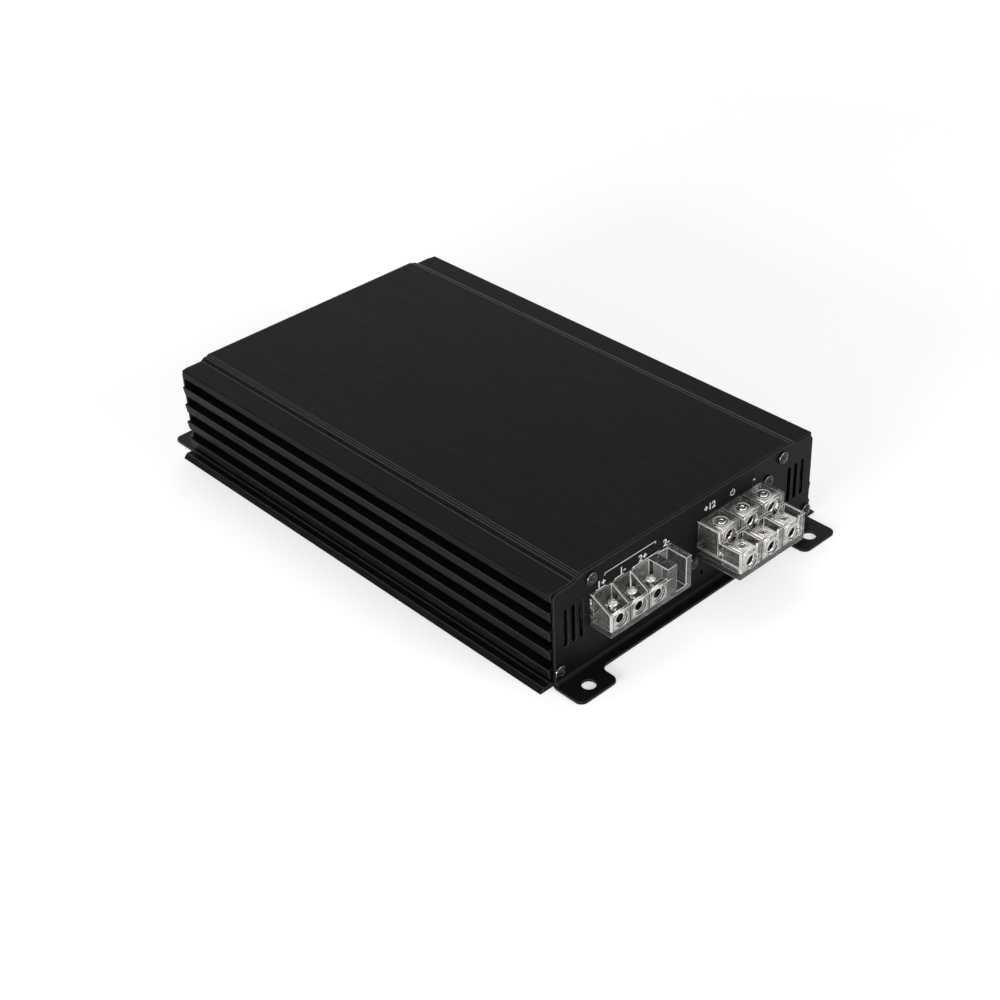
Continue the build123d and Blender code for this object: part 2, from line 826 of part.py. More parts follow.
save(speaker_terminal_housing, "speaker_terminal_housing")

with BuildPart() as speaker_clamps:
    for x in speaker_centres:
        block_between(
            around(x, barrel_width), (barrel_front + window_gap, barrel_back),
            (pocket_floor, barrel_z),
        )
        hole_along_y(x, barrel_z, barrel_radius, (barrel_front, barrel_back), Mode.ADD)
        hole_along_y(x, barrel_z, speaker_bore, (barrel_front, barrel_back))
        hole_along_z(x, barrel_y, m3_hole, (barrel_z, barrel_top))
        tail_top = pocket_floor + tail_thickness
        block_between(
            around(x, tail_width), (barrel_back, low_tail_y), (pocket_floor, tail_top)
        )
        block_between(
            around(x, tail_width), (low_tail_y - tail_thickness, low_tail_y),
            (board_top, tail_top),
        )
save(speaker_clamps, "speaker_clamps")


def domed_screw(x, y, tip_z):
    """Slotted clamp screw with a domed head."""
    with BuildPart(mode=Mode.PRIVATE) as screw:
        seat = tip_z + shank_length
        with BuildSketch(Plane.XZ):
            with BuildLine():
                rim = seat + head_height * 0.35
                crown = seat + head_height
                Polyline(
                    (0, crown), (0, tip_z), (m3_radius, tip_z), (m3_radius, seat),
                    (head_radius, seat), (head_radius, rim),
                )
                TangentArc((0, crown), (head_radius, rim), tangent=(1, 0))
            make_face()
        revolve(axis=Axis.Z)
        block_between(
            around(0, 3 * head_radius), around(0, slot_width),
            (crown - head_height / 2, crown + head_height), Mode.SUBTRACT,
        )
    return Pos(x, y, 0) * screw.part


for number, x in enumerate(speaker_centres, start=1):
    bore_top = barrel_z + speaker_bore
    with BuildPart() as speaker_pad:
        add(pressure_pad(x, barrel_y, bore_top, m3_hole))
    save(speaker_pad, f"speaker_pad_{number}")
    with BuildPart() as speaker_screw:
        add(domed_screw(x, barrel_y, bore_top + rest_gap + pad_thickness))
    save(speaker_screw, f"speaker_screw_{number}")

# ---------------------------------------------------------------- circuit board

with BuildPart() as board_standoffs:
    with BuildSketch(Plane.XY.offset(lip_floor)):
        with GridLocations(2 * standoff_x, standoff_y, 2, 3):
            RegularPolygon(standoff_radius, 6)
            Circle(m3_hole, mode=Mode.SUBTRACT)
    extrude(amount=board_height - lip_floor)
save(board_standoffs, "board_standoffs")

with BuildPart() as circuit_board:
    with BuildSketch(Plane.XY.offset(board_height)):
        Rectangle(2 * board_half_width, 2 * board_half_length)
        with GridLocations(2 * standoff_x, standoff_y, 2, 3):
            Circle(m3_clearance, mode=Mode.SUBTRACT)
    extrude(amount=board_thickness)
save(circuit_board, "circuit_board")

board_screw = pan_screw(board_thickness + (board_height - lip_floor) / 3)
with BuildPart() as board_screws:
    with Locations(Plane.XY.offset(board_top)):
        with GridLocations(2 * standoff_x, standoff_y, 2, 3):
            add(board_screw)
save(board_screws, "board_screws")

# ---------------------------------------------------------------- output transistors

transistor_floor = board_top + transistor_lift
transistor_back = inner_x - pad_sheet
transistor_front = transistor_back - transistor_body
bar_floor = board_top + clamp_bar_lift
row_length = transistor_pitch * (transistors_per_side - 1)


def transistor_row(side):
    """Row of plastic power transistors against one side wall, legs down to the board."""
    with BuildPart(mode=Mode.PRIVATE) as row:
        for index in range(transistors_per_side):
            y = (index - (transistors_per_side - 1) / 2) * transistor_pitch
            depth = (side * transistor_front, side * transistor_back)
            block_between(
                depth, around(y, transistor_width),
                (transistor_floor, transistor_floor + transistor_height),
            )
            for leg in (-1, 0, 1):
                block_between(
                    around(side * (transistor_front + transistor_body / 3), leg_size),
                    around(y + leg * leg_pitch, leg_size), (board_top, transistor_floor),
                )
    return row.part


with BuildPart() as transistors_left:
    add(transistor_row(-1))
save(transistors_left, "transistors_left")

with BuildPart() as transistors_right:
    add(transistor_row(1))
save(transistors_right, "transistors_right")

with BuildPart() as insulating_pads:
    for side in (-1, 1):
        block_between(
            (side * transistor_back, side * inner_x),
            around(0, row_length + transistor_width + 2 * rear_flange_margin),
            (transistor_floor - pad_gap, transistor_floor + transistor_height + pad_gap),
        )
        with Locations(Plane(origin=(side * inner_x, 0, bar_screw_z), z_dir=(side, 0, 0))):
            with GridLocations(1, transistor_pitch, 1, transistors_per_side - 1):
                Cylinder(m3_clearance, 2 * wall_thickness, mode=Mode.SUBTRACT)
save(insulating_pads, "insulating_pads")

with BuildPart() as clamp_bars:
    for side in (-1, 1):
        bar_face = side * (transistor_front - clamp_bar_thickness)
        block_between(
            (bar_face, side * transistor_front), around(0, row_length + transistor_width),
            (bar_floor, bar_floor + clamp_bar_height),
        )
        with Locations(Plane(origin=(bar_face, 0, bar_screw_z), z_dir=(side, 0, 0))):
            with GridLocations(1, transistor_pitch, 1, transistors_per_side - 1):
                Cylinder(m3_clearance, 3 * clamp_bar_thickness, mode=Mode.SUBTRACT)
save(clamp_bars, "clamp_bars")

bar_screw = pan_screw(clamp_bar_thickness + transistor_body + pad_sheet + bar_screw_depth)
with BuildPart() as clamp_bar_screws:
    for side in (-1, 1):
        bar_face = side * (transistor_front - clamp_bar_thickness)
        with Locations(Plane(origin=(bar_face, 0, bar_screw_z), z_dir=(-side, 0, 0))):
            with GridLocations(1, transistor_pitch, 1, transistors_per_side - 1):
                add(bar_screw)
save(clamp_bar_screws, "clamp_bar_screws")

# ---------------------------------------------------------------- wound parts and capacitors


def ring_core(x, y, outer, inner, height):
    """Ferrite ring, lifted off the board by the wire that passes under it."""
    with BuildPart(mode=Mode.PRIVATE) as core:
        with BuildSketch(Plane((x, y, board_top + turn_thickness))):
            Circle(outer)
            Circle(inner, mode=Mode.SUBTRACT)
        extrude(amount=height)
    return core.part


def ring_winding(x, y, outer, inner, height, turns):
    """Separate copper turns, spaced evenly around a ring core."""
    with BuildPart(mode=Mode.PRIVATE) as winding:
        middle = (outer + inner) / 2
        for index in range(turns):
            angle = 360 * index / turns
            spoke = Plane(
                origin=(x, y, board_top),
                x_dir=(cos(angle * pi / 180), sin(angle * pi / 180), 0),
                z_dir=(sin(angle * pi / 180), -cos(angle * pi / 180), 0),
            )
            with BuildSketch(spoke):
                with Locations((middle, turn_thickness + height / 2)):
                    RectangleRounded(
                        outer - inner + 2 * (turn_gap + turn_thickness),
                        height + 2 * turn_thickness,
                        turn_thickness * 0.8,
                    )
                    Rectangle(outer - inner + 2 * turn_gap, height, mode=Mode.SUBTRACT)
            extrude(amount=turn_width / 2, both=True)
    return winding.part


with BuildPart() as transformer_core:
    add(ring_core(transformer_x, transformer_y, core_outer, core_inner, core_height))
save(transformer_core, "transformer_core")

with BuildPart() as transformer_winding:
    add(ring_winding(
        transformer_x, transformer_y, core_outer, core_inner, core_height, turn_count
    ))
save(transformer_winding, "transformer_winding")

with BuildPart() as choke_core:
    add(ring_core(choke_x, choke_y, choke_outer, choke_inner, choke_height))
save(choke_core, "choke_core")

with BuildPart() as choke_winding:
    add(ring_winding(choke_x, choke_y, choke_outer, choke_inner, choke_height, choke_turns))
save(choke_winding, "choke_winding")


def capacitor(radius, height):
    """Electrolytic can with its sleeve groove and scored top, standing at z = 0."""
    with BuildPart(mode=Mode.PRIVATE) as can:
        with BuildSketch(Plane.XZ):
            with BuildLine():
                groove = radius * 0.08
                low, high = height * 0.1, height * 0.16
                Polyline(
                    (0, 0), (radius, 0), (radius, low), (radius - groove, (low + high) / 2),
                    (radius, high), (radius, height - groove), (radius - groove, height),
                    (0, height), close=True,
                )
            make_face()
        revolve(axis=Axis.Z)
        with BuildSketch(Plane.XY.offset(height)):
            Rectangle(radius * 1.2, radius * 0.08)
            Rectangle(radius * 0.08, radius * 1.2)
        extrude(amount=-radius * 0.06, mode=Mode.SUBTRACT)
    return can.part


reservoir_can = capacitor(reservoir_radius, reservoir_height)
with BuildPart() as reservoir_capacitors:
    with Locations((0, reservoir_y, board_top)):
        with GridLocations(reservoir_pitch, reservoir_pitch, 4, 2):
            add(reservoir_can)
save(reservoir_capacitors, "reservoir_capacitors")

small_can = capacitor(small_cap_radius, small_cap_height)
with BuildPart() as input_capacitors:
    with Locations((small_cap_x, choke_y, board_top)):
        with GridLocations(small_cap_pitch, small_cap_pitch, 1, 2):
            add(small_can)
save(input_capacitors, "input_capacitors")

with BuildPart() as signal_chips:
    chip_length, chip_across, chip_tall = chip_size
    for index in range(4):
        y = chip_y + (index // 2) * chip_pitch
        x = chip_x + (index % 2 - 0.5) * 2 * chip_pitch
        block_between(
            around(x, chip_length), around(y, chip_across), (board_top, board_top + chip_tall)
        )
    for chip in signal_chips.solids():
        notch = chip.center() + Vector(-chip_length / 2, 0, chip_tall / 2)
        with Locations(notch):
            Cylinder(chip_across / 8, chip_tall / 4, mode=Mode.SUBTRACT)
save(signal_chips, "signal_chips")

# ---------------------------------------------------------------- phono sockets

phono_inner = phono_shell - phono_shell_wall
phono_face = plate_face + phono_block_proud
phono_tip = phono_face + phono_reach

with BuildPart() as phono_socket_block:
    block_x = around(phono_x, phono_pitch * (phono_columns - 1) + 2 * phono_margin)
    block_z = around(rear_row_height, phono_pitch * (phono_rows - 1) + 2 * phono_margin)
    block_between(block_x, (half_length - phono_block_depth, phono_face), block_z)
    block_between(
        around(phono_x, phono_pitch), (half_length - phono_block_depth, half_length - sheet),
        (board_top, block_z[0]),
    )
    flange_x = (block_x[0] - rear_flange_margin, block_x[1] + rear_flange_margin)
    block_between(flange_x, (half_length - rear_flange, half_length), block_z)
    for x, z in phono_places:
        hole_along_y(x, z, phono_seat_radius, (phono_face - phono_seat, phono_face))
save(phono_socket_block, "phono_socket_block")

with BuildPart() as phono_shells:
    for x, z in phono_places:
        hole_along_y(x, z, phono_seat_radius, (phono_face - phono_seat, phono_face), Mode.ADD)
        hole_along_y(x, z, phono_shell, (phono_face, phono_tip), Mode.ADD)
        hole_along_y(x, z, phono_inner, (phono_face - phono_seat, phono_tip))
save(phono_shells, "phono_shells")


def phono_insulators(column):
    """Coloured insulators of one column of phono sockets, each with its contact hole."""
    with BuildPart(mode=Mode.PRIVATE) as insulators:
        for x, z in phono_places[column::phono_columns]:
            seat = phono_face - phono_seat
            tip = phono_tip - 2 * phono_shell_wall
            hole_along_y(x, z, phono_inner, (seat, tip), Mode.ADD)
            hole_along_y(x, z, phono_contact, (seat + phono_shell_wall, tip))
    return insulators.part


with BuildPart() as phono_insulators_white:
    add(phono_insulators(0))
save(phono_insulators_white, "phono_insulators_white")

with BuildPart() as phono_insulators_red:
    add(phono_insulators(1))
save(phono_insulators_red, "phono_insulators_red")

# ---------------------------------------------------------------- controls and lamps

with BuildPart() as control_bodies:
    body_wide, body_deep, body_tall = control_body
    for x, z in control_places:
        body_y = (half_length - body_deep, half_length)
        block_between(around(x, body_wide), body_y, around(z, body_tall))
        block_between(around(x, body_wide * 0.8), body_y, (board_top, z))
        hole_along_y(x, z, shaft_radius + shaft_gap, (half_length - shaft_seat, half_length))
save(control_bodies, "control_bodies")

for number, (x, z) in enumerate(control_places, start=1):
    with BuildPart() as control_knob:
        knob_start = plate_face + knob_gap
        knob_end = knob_start + knob_reach
        shaft_run = (half_length - shaft_seat + shaft_gap, knob_start)
        hole_along_y(x, z, shaft_radius, shaft_run, Mode.ADD)
        hole_along_y(x, z, knob_radius, (knob_start, knob_end), Mode.ADD)
        tip_edge = control_knob.edges().filter_by(GeomType.CIRCLE).sort_by(Axis.Y)[-1]
        chamfer(tip_edge, knob_slot / 3)
        block_between(
            around(x, knob_slot), (knob_end - knob_slot, knob_end),
            (z, z + 2 * knob_radius), Mode.SUBTRACT,
        )
    save(control_knob, f"control_knob_{number}")

with BuildPart() as switch_bodies:
    switch_wide, switch_tall, switch_deep = switch_body
    lever_wide, lever_reach, lever_tall = switch_lever
    lever_play = lever_wide + 2 * (switch_travel + switch_slot_gap)
    switch_back = half_length - switch_deep
    for x, z in switch_places:
        block_between(around(x, switch_wide), (switch_back, half_length), around(z, switch_tall))
        block_between(
            around(x, lever_play), (switch_back + sheet, half_length),
            around(z, lever_tall + 2 * switch_slot_gap), Mode.SUBTRACT,
        )
save(switch_bodies, "switch_bodies")

for number, (x, z) in enumerate(switch_places, start=1):
    with BuildPart() as switch_lever_piece:
        lever_run = (switch_back + sheet + thread_gap, plate_face + lever_reach / 2)
        block_between(around(x, lever_wide), lever_run, around(z, lever_tall))
    save(switch_lever_piece, f"switch_lever_{number}")

for (x, z), name in zip(led_places, ("power_lamp", "protect_lamp")):
    with BuildPart() as lamp:
        hole_along_y(x, z, led_radius, (half_length, plate_face + led_radius), Mode.ADD)
        dome_edge = lamp.edges().filter_by(GeomType.CIRCLE).sort_by(Axis.Y)[-1]
        fillet(dome_edge, led_radius * 0.9)
        hole_along_y(x, z, led_rim, (half_length - sheet, half_length), Mode.ADD)
    save(lamp, name)
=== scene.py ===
import json
import math

import bmesh
import bpy
from mathutils import Matrix, Vector


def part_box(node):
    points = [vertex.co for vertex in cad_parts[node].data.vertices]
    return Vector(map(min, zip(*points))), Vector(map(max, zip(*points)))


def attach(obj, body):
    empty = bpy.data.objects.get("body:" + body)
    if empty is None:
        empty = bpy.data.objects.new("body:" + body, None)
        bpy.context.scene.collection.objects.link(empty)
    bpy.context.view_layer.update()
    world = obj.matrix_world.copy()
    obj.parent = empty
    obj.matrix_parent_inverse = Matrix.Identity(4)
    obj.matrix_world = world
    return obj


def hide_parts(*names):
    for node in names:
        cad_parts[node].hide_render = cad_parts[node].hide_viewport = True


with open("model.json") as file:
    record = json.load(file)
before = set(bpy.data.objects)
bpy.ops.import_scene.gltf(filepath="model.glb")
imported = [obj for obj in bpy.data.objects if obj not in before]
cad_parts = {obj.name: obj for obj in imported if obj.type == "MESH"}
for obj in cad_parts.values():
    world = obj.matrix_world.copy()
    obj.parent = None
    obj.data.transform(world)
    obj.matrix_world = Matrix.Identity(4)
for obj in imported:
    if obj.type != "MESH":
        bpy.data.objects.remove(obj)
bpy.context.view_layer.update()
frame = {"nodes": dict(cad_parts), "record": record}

NODES = frame["nodes"]
MM = 0.001


# ---------------------------------------------------------------- camera

CAMERA_AZIMUTH = math.radians(-41.56)
CAMERA_ELEVATION = math.radians(34.9)
CAMERA_ROLL = math.radians(-2.84)
CAMERA_DISTANCE = 813.43 * MM
CAMERA_SHIFT = (-5.556 * MM, 7.477 * MM)  # of the origin, across and up the view
CAMERA_LENS = 62.26
CAMERA_SENSOR = 36.0


def make_camera():
    """Camera above the terminal end, at its own angle, roll and shift from the origin."""
    back = Vector((
        math.sin(CAMERA_AZIMUTH) * math.cos(CAMERA_ELEVATION),
        -math.cos(CAMERA_AZIMUTH) * math.cos(CAMERA_ELEVATION),
        math.sin(CAMERA_ELEVATION),
    ))
    level = Vector((0, 0, 1)).cross(back).normalized()
    upright = back.cross(level)
    across = math.cos(CAMERA_ROLL) * level + math.sin(CAMERA_ROLL) * upright
    up = math.cos(CAMERA_ROLL) * upright - math.sin(CAMERA_ROLL) * level
    place = CAMERA_DISTANCE * back - CAMERA_SHIFT[0] * across - CAMERA_SHIFT[1] * up
    data = bpy.data.cameras.new("camera")
    data.lens = CAMERA_LENS
    data.sensor_width = CAMERA_SENSOR
    camera = bpy.data.objects.new("camera", data)
    bpy.context.collection.objects.link(camera)
    camera.matrix_world = Matrix((
        (across.x, up.x, back.x, place.x),
        (across.y, up.y, back.y, place.y),
        (across.z, up.z, back.z, place.z),
        (0, 0, 0, 1),
    ))
    bpy.context.scene.camera = camera


# ---------------------------------------------------------------- shader helpers


def math_node(tree, operation, first, second):
    """The output of a Math node that joins two other outputs."""
    node = tree.nodes.new("ShaderNodeMath")
    node.operation = operation
    tree.links.new(first, node.inputs[0])
    tree.links.new(second, node.inputs[1])
    return node.outputs[0]


class Shader:
    """A material with its Principled shader and short calls for common nodes."""

    def __init__(self, name, colour, roughness, metallic=0.0, **sockets):
        self.material = bpy.data.materials.new(name)
        self.material.use_nodes = True
        self.tree = self.material.node_tree
        self.surface = self.tree.nodes["Principled BSDF"]
        self.set("Base Color", (*colour, 1.0))
        self.set("Roughness", roughness)
        self.set("Metallic", metallic)
        for socket, value in sockets.items():
            self.set(socket.replace("_", " "), value)

    def set(self, socket, value):
        """A constant on the surface shader's own socket."""
        self.surface.inputs[socket].default_value = value

    def add(self, kind, **values):
        """A new node with a value or another node's output on each socket named."""
        node = self.tree.nodes.new(kind)
        for name, value in values.items():
            self.feed(node.inputs[name.replace("_", " ")], value)
        return node

    def feed(self, socket, value):
        """Joins another node's output to a socket, or sets it to a number."""
        if isinstance(value, bpy.types.NodeSocket):
            self.tree.links.new(value, socket)
        else:
            socket.default_value = value

    def noise(self, scale, stretch=(1, 1, 1), detail=3.0):
        """Noise with scale features per millimetre, drawn out along an axis by a low stretch."""
        density = tuple(scale / MM * part for part in stretch)
        place = self.add("ShaderNodeTexCoord").outputs["Object"]
        mapped = self.add("ShaderNodeMapping", Vector=place, Scale=density)
        grain = self.add(
            "ShaderNodeTexNoise", Vector=mapped.outputs["Vector"], Scale=1.0, Detail=detail
        )
        return grain.outputs["Fac"]

    def spread(self, value, low, high, start=0.3, end=0.7):
        """A number between low and high as value goes from start to end."""
        node = self.tree.nodes.new("ShaderNodeMapRange")
        for index, item in enumerate((value, start, end, low, high)):
            self.feed(node.inputs[index], item)
        return node.outputs["Result"]

    def blend(self, factor, first, second):
        """The output that runs from the first colour to the second as factor goes from 0 to 1."""
        node = self.tree.nodes.new("ShaderNodeMix")
        node.data_type = "RGBA"
        # A Mix node's colour sockets share their names with its number and vector sockets.
        factor_in, first_in, second_in = (node.inputs[index] for index in (0, 6, 7))
        self.feed(factor_in, factor)
        self.feed(first_in, (*first, 1.0))
        self.feed(second_in, (*second, 1.0))
        return node.outputs[2]

    def colour(self, output):
        """Joins another node's output to the base colour."""
        self.tree.links.new(output, self.surface.inputs["Base Color"])

    def roughness(self, output):
        """Joins another node's output to the roughness."""
        self.tree.links.new(output, self.surface.inputs["Roughness"])

    def relief(self, height, depth=0.01, strength=1.0):
        """Bump of that depth in millimetres."""
        bump = self.add("ShaderNodeBump", Height=height, Distance=depth * MM, Strength=strength)
        self.tree.links.new(bump.outputs["Normal"], self.surface.inputs["Normal"])


# ---------------------------------------------------------------- materials


def black_anodised():
    """Black anodised aluminium, brushed along the extrusion."""
    made = Shader("black_anodised", (0.005, 0.005, 0.0051), 0.42, Specular_IOR_Level=0.04)
    streak = made.noise(5.0, (1.0, 0.012, 1.0), 6.0)
    band = made.noise(0.5, (1.0, 0.02, 1.0), 2.0)
    grain = made.spread(streak, 0.0, 1.0, 0.38, 0.62)
    made.colour(made.blend(grain, (0.0004, 0.0004, 0.0004), (0.0085, 0.0085, 0.0086)))
    both = math_node(made.tree, "ADD", streak, band)
    made.roughness(made.spread(both, 0.3, 0.5, 0.7, 1.3))
    made.relief(streak, depth=0.012, strength=0.8)
    return made.material


def powder_coat():
    """Matt black powder coat with its fine orange-peel grain."""
    made = Shader("powder_coat", (0.005, 0.005, 0.005), 0.45, Specular_IOR_Level=0.08)
    grain = made.noise(2.6, detail=2.0)
    made.colour(made.blend(grain, (0.0025, 0.0025, 0.0025), (0.0065, 0.0065, 0.0065)))
    made.roughness(made.spread(grain, 0.38, 0.55))
    made.relief(grain, depth=0.02, strength=0.6)
    return made.material


def bright_edge(name, low, high, roughness, metallic=0.0, **sockets):
    """The thin rounded edge of a finish, painted paler than its faces as a painted highlight."""
    made = Shader(name, high, roughness, metallic, **sockets)
    # Noise varies the painted highlight's pale colour and its roughness.
    highlight_grain = made.noise(0.6, detail=4.0)
    made.colour(made.blend(made.spread(highlight_grain, 0.0, 1.0), low, high))
    made.roughness(made.spread(highlight_grain, 0.8 * roughness, 1.2 * roughness))
    made.relief(highlight_grain, depth=0.003)
    return made.material


def black_screw():
    """Black zinc on steel, glossy where the driver and the washer face have polished it."""
    made = Shader("black_screw", (0.03, 0.029, 0.028), 0.2, 0.9)
    grain = made.noise(3.0)
    made.colour(made.blend(grain, (0.012, 0.012, 0.012), (0.045, 0.044, 0.043)))
    made.roughness(made.spread(grain, 0.14, 0.3))
    made.relief(grain, depth=0.006)
    return made.material


def bright_zinc():
    """Bright zinc on steel."""
    made = Shader("bright_zinc", (0.62, 0.63, 0.66), 0.28, 1.0)
    grain = made.noise(2.0)
    made.colour(made.blend(grain, (0.52, 0.53, 0.56), (0.68, 0.69, 0.71)))
    made.roughness(made.spread(grain, 0.2, 0.4))
    made.relief(grain, depth=0.004)
    return made.material


def nickel(name="nickel", low=(0.4, 0.392, 0.378), high=(0.64, 0.63, 0.612)):
    """Nickel plate over turned brass, satin with faint machining marks."""
    made = Shader(name, high, 0.2, 1.0)
    cloud = made.noise(0.8)
    mark = made.noise(4.0, (1.0, 0.08, 1.0))
    made.colour(made.blend(made.spread(cloud, 0.0, 1.0), low, high))
    made.roughness(made.spread(mark, 0.12, 0.28))
    made.relief(mark, depth=0.003, strength=0.4)
    return made.material


def clear_plastic():
    """Clear polycarbonate with a faint flow ripple from moulding."""
    made = Shader(
        "clear_plastic", (0.93, 0.92, 0.9), 0.04,
        IOR=1.47, Transmission_Weight=0.975, Specular_IOR_Level=0.35,
    )
    flow = made.noise(0.25, detail=1.0)
    made.roughness(made.spread(flow, 0.02, 0.05))
    made.colour(made.blend(flow, (0.95, 0.94, 0.92), (0.97, 0.96, 0.945)))
    made.relief(flow, depth=0.002, strength=0.3)
    return made.material


def solder_mask():
    """Green circuit board with copper runs that show lighter under the mask."""
    made = Shader("solder_mask", (0.02, 0.12, 0.05), 0.32)
    place = made.add("ShaderNodeTexCoord").outputs["Object"]
    mapped = made.add("ShaderNodeMapping", Vector=place, Scale=(0.09 / MM,) * 3)
    cells = made.tree.nodes.new("ShaderNodeTexVoronoi")
    cells.distance = "MANHATTAN"
    cells.feature = "DISTANCE_TO_EDGE"
    made.feed(cells.inputs["Vector"], mapped.outputs["Vector"])
    made.feed(cells.inputs["Scale"], 1.0)
    run = made.spread(cells.outputs["Distance"], 1.0, 0.0, 0.05, 0.09)
    made.colour(made.blend(run, (0.012, 0.085, 0.035), (0.04, 0.2, 0.08)))
    made.relief(run, depth=0.03)
    return made.material


def metal(name, low, high, roughness=(0.2, 0.4), scale=2.0, stretch=(1, 1, 1)):
    """A plain metal whose colour and gloss vary a little over its surface."""
    made = Shader(name, high, roughness[0], 1.0)
    grain = made.noise(scale, stretch)
    made.colour(made.blend(made.spread(grain, 0.0, 1.0), low, high))
    made.roughness(made.spread(grain, *roughness))
    made.relief(grain, depth=0.005)
    return made.material


def moulded(name, low, high, roughness=(0.4, 0.55), scale=2.0, depth=0.01):
    """A moulded or printed plastic with a fine surface grain."""
    made = Shader(name, high, roughness[0])
    grain = made.noise(scale)
    made.colour(made.blend(made.spread(grain, 0.0, 1.0), low, high))
    made.roughness(made.spread(grain, *roughness))
    made.relief(grain, depth=depth)
    return made.material


def lens(name, colour):
    """Tinted diffused lamp lens, with its light spreading inside."""
    made = Shader(name, colour, 0.2, IOR=1.5, Transmission_Weight=0.5)
    cloud = made.noise(1.5)
    made.colour(made.blend(cloud, tuple(0.6 * part for part in colour), colour))
    made.relief(cloud, depth=0.005)
    return made.material


def printed_ink():
    """White screen-printed ink, slightly uneven."""
    made = Shader("printed_ink", (0.8, 0.8, 0.79), 0.55)
    grain = made.noise(5.0)
    made.colour(made.blend(made.spread(grain, 0.0, 1.0), (0.62, 0.62, 0.61), (0.86, 0.86, 0.85)))
    made.relief(grain, depth=0.004)
    return made.material


def make_materials():
    """Every finish, by the record's slot name, with the ink and a darker copy of the nickel for the
    power clamp screws, which is painted shade.
    """
    return {
        "black_anodised": black_anodised(),
        "powder_coat": powder_coat(),
        "black_screws": black_screw(),
        "zinc_screws": bright_zinc(),
        "clear_plastic": clear_plastic(),
        "nickel": nickel(),
        "board_green": solder_mask(),
        "brass_hex": metal("brass_hex", (0.6, 0.45, 0.2), (0.78, 0.6, 0.3)),
        "ferrite": moulded("ferrite", (0.02, 0.02, 0.022), (0.04, 0.04, 0.043), (0.5, 0.7)),
        "copper_wire": metal("copper_wire", (0.5, 0.2, 0.08), (0.75, 0.34, 0.16), (0.15, 0.3)),
        "capacitor_sleeve": moulded(
            "capacitor_sleeve", (0.006, 0.008, 0.02), (0.012, 0.016, 0.04), (0.2, 0.35)
        ),
        "epoxy_black": moulded(
            "epoxy_black", (0.012, 0.012, 0.012), (0.028, 0.028, 0.028), (0.55, 0.75), 5.0
        ),
        "grey_silicone": moulded(
            "grey_silicone", (0.25, 0.26, 0.27), (0.36, 0.37, 0.38), (0.7, 0.85)
        ),
        "bar_aluminium": metal(
            "bar_aluminium", (0.5, 0.51, 0.53), (0.72, 0.73, 0.75), (0.25, 0.45), 3.0, (1, 0.03, 1)
        ),
        "black_plastic": moulded(
            "black_plastic", (0.008, 0.008, 0.008), (0.018, 0.018, 0.018), (0.35, 0.5), 4.0
        ),
        "gold_plate": metal("gold_plate", (0.72, 0.48, 0.16), (0.92, 0.68, 0.3), (0.1, 0.24), 1.2),
        "white_plastic": moulded(
            "white_plastic", (0.7, 0.7, 0.68), (0.82, 0.82, 0.8), (0.25, 0.4)
        ),
        "red_plastic": moulded("red_plastic", (0.35, 0.01, 0.01), (0.5, 0.015, 0.015), (0.25, 0.4)),
        "knob_black": moulded(
            "knob_black", (0.01, 0.01, 0.01), (0.02, 0.02, 0.02), (0.45, 0.6), 4.0
        ),
        "lever_white": moulded("lever_white", (0.55, 0.55, 0.53), (0.7, 0.7, 0.68), (0.4, 0.55)),
        "green_lens": lens("green_lens", (0.1, 0.75, 0.25)),
        "red_lens": lens("red_lens", (0.85, 0.08, 0.06)),
        "printed_ink": printed_ink(),
        # Darker copy of the nickel: painted shade for the power clamp screws down in their clamps.
        "clamp_screw_shade": nickel("clamp_screw_shade", (0.2, 0.195, 0.19), (0.34, 0.335, 0.325)),
    }


def make_edge_materials():
    """The width in millimetres and the paler material of the rounded edges, by slot; the paler
    colour is a painted highlight.
    """
    clear = {"IOR": 1.5, "Transmission_Weight": 0.5}
    low_gloss = {"Specular_IOR_Level": 0.2}
    return {
        # Each edge colour is paler than its face: a painted highlight on the rounded edge.
        "black_anodised": (0.25, bright_edge(
            "anodised_edge_highlight", (0.007, 0.007, 0.0071), (0.026, 0.026, 0.0263), 0.4, **low_gloss
        )),
        "powder_coat": (0.2, bright_edge(
            "coat_edge_highlight", (0.012, 0.012, 0.012), (0.032, 0.032, 0.032), 0.45, **low_gloss
        )),
        "black_screws": (0.14, bright_edge(
            "screw_edge_highlight", (0.14, 0.14, 0.135), (0.32, 0.32, 0.31), 0.2, 1.0
        )),
        "clear_plastic": (0.24, bright_edge(
            "clear_edge_highlight", (0.88, 0.87, 0.85), (0.97, 0.96, 0.94), 0.1, **clear
        )),
        "nickel": (0.12, bright_edge(
            "nickel_edge_highlight", (0.75, 0.74, 0.72), (0.9, 0.89, 0.87), 0.12, 1.0
        )),
        "black_plastic": (0.15, bright_edge(
            "plastic_edge_highlight", (0.02, 0.02, 0.02), (0.04, 0.04, 0.04), 0.35
        )),
        "gold_plate": (0.12, bright_edge(
            "gold_edge_highlight", (0.85, 0.6, 0.24), (0.98, 0.76, 0.38), 0.1, 1.0
        )),
    }


# ---------------------------------------------------------------- finish of the CAD nodes

WELD_GAP = 0.002 * MM  # points closer than it are joined
FLAT_ANGLE = math.radians(1)  # faces within it are one flat
SHARP_ANGLE = math.radians(32)  # edges past it are rounded


